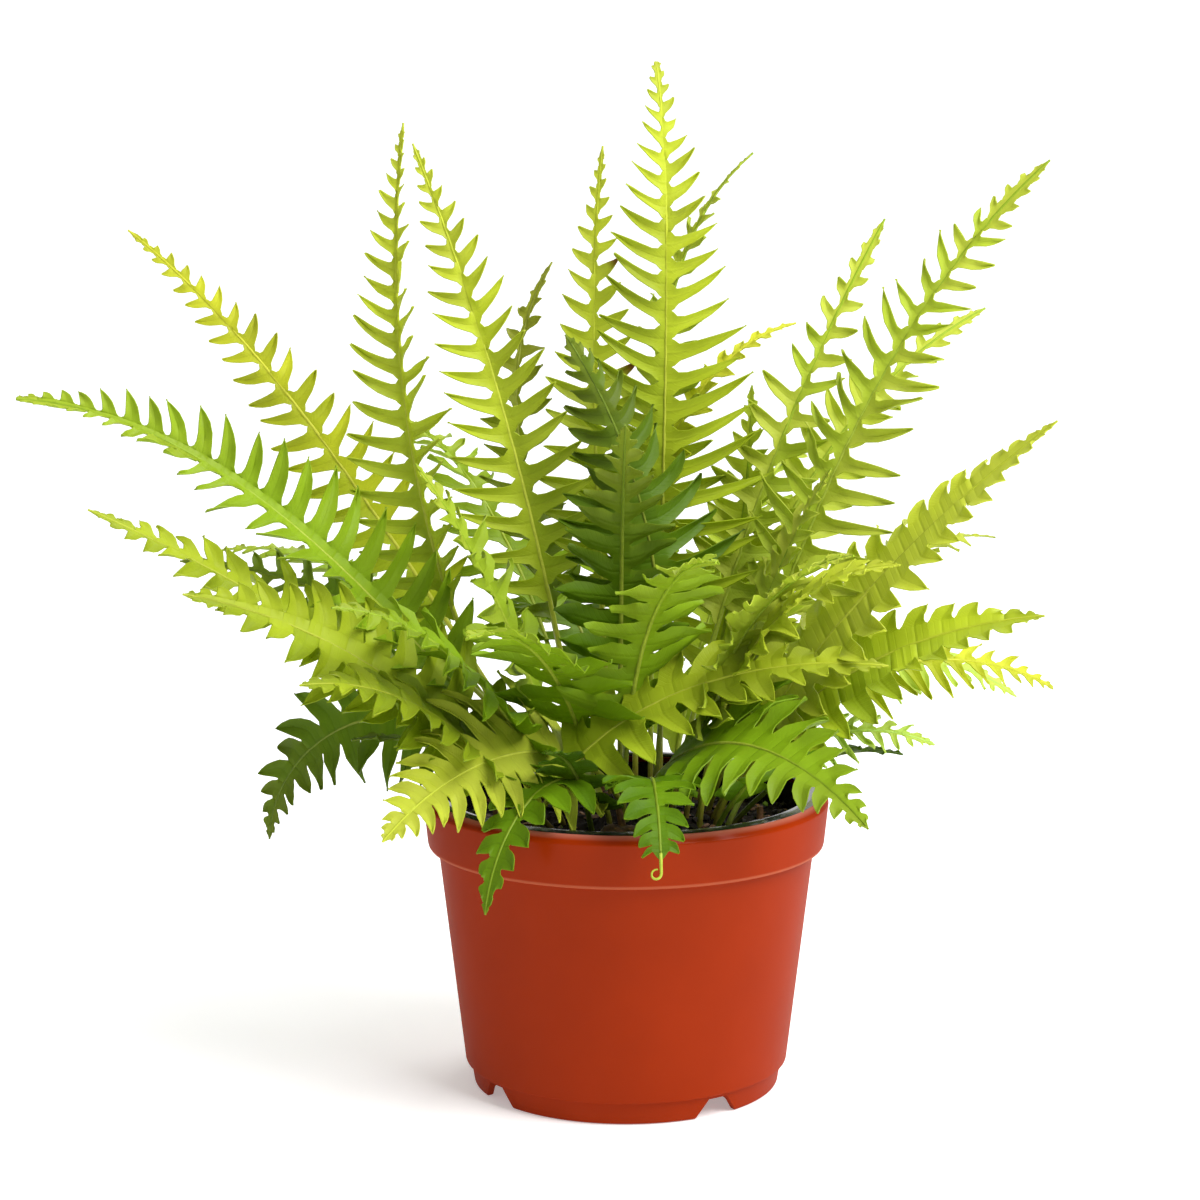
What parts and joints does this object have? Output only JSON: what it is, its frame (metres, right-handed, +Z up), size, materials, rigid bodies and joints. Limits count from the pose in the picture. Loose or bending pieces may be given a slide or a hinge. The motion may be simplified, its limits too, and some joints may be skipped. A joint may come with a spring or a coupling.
{
  "type": "potted fern",
  "caption": "Common polypody fern with arching deeply lobed fronds on thin stipes, rising from soil and creeping rhizomes in a stepped round nursery pot.",
  "frame": {"origin": "middle of the underside of the whole plant's bounding box, on the surface it stands on; the pot's axis stands 24.1 mm from it along +X and 33.9 mm along -Y", "axes": "+Z up along the pot's axis, -Y towards the front of the plant, +X to the right as seen from the front"},
  "size_m": [0.3242, 0.2704, 0.326],
  "materials": {
    "pot_plastic": "satin",
    "soil": "matte",
    "rhizome": "matte",
    "leaf_pale": "satin",
    "leaf_yellow": "satin",
    "leaf_young": "satin",
    "leaf_mid": "satin",
    "leaf_olive": "satin",
    "leaf_dark": "satin"
  },
  "bodies": {
    "root": {"pot": "pot_plastic", "soil": "soil", "rhizome_1": "rhizome", "rhizome_2": "rhizome", "rhizome_3": "rhizome", "rhizome_4": "rhizome", "frond_01": "leaf_young", "frond_02": "leaf_young", "frond_03": "leaf_young", "frond_04": "leaf_olive", "frond_05": "leaf_young", "frond_06": "leaf_mid", "frond_07": "leaf_dark", "frond_08": "leaf_mid", "frond_09": "leaf_mid", "frond_10": "leaf_yellow", "frond_11": "leaf_mid", "frond_12": "leaf_mid", "frond_13": "leaf_young", "frond_14": "leaf_young", "frond_15": "leaf_yellow", "frond_16": "leaf_pale", "frond_17": "leaf_pale", "frond_18": "leaf_mid", "frond_19": "leaf_young", "frond_20": "leaf_mid", "frond_21": "leaf_mid", "frond_22": "leaf_dark", "frond_23": "leaf_young", "frond_24": "leaf_young", "frond_25": "leaf_mid", "frond_26": "leaf_yellow", "frond_27": "leaf_dark", "frond_28": "leaf_young", "frond_29": "leaf_mid", "frond_30": "leaf_mid", "frond_31": "leaf_mid", "frond_32": "leaf_mid", "frond_33": "leaf_young", "frond_34": "leaf_young", "frond_35": "leaf_dark", "frond_36": "leaf_mid", "frond_37": "leaf_mid", "frond_38": "leaf_mid", "frond_39": "leaf_dark", "frond_40": "leaf_dark", "frond_41": "leaf_dark", "frond_42": "leaf_mid", "frond_43": "leaf_mid", "frond_44": "leaf_mid", "frond_45": "leaf_dark", "frond_46": "leaf_mid", "frond_47": "leaf_dark", "frond_48": "leaf_mid"}
  },
  "joints": []
}
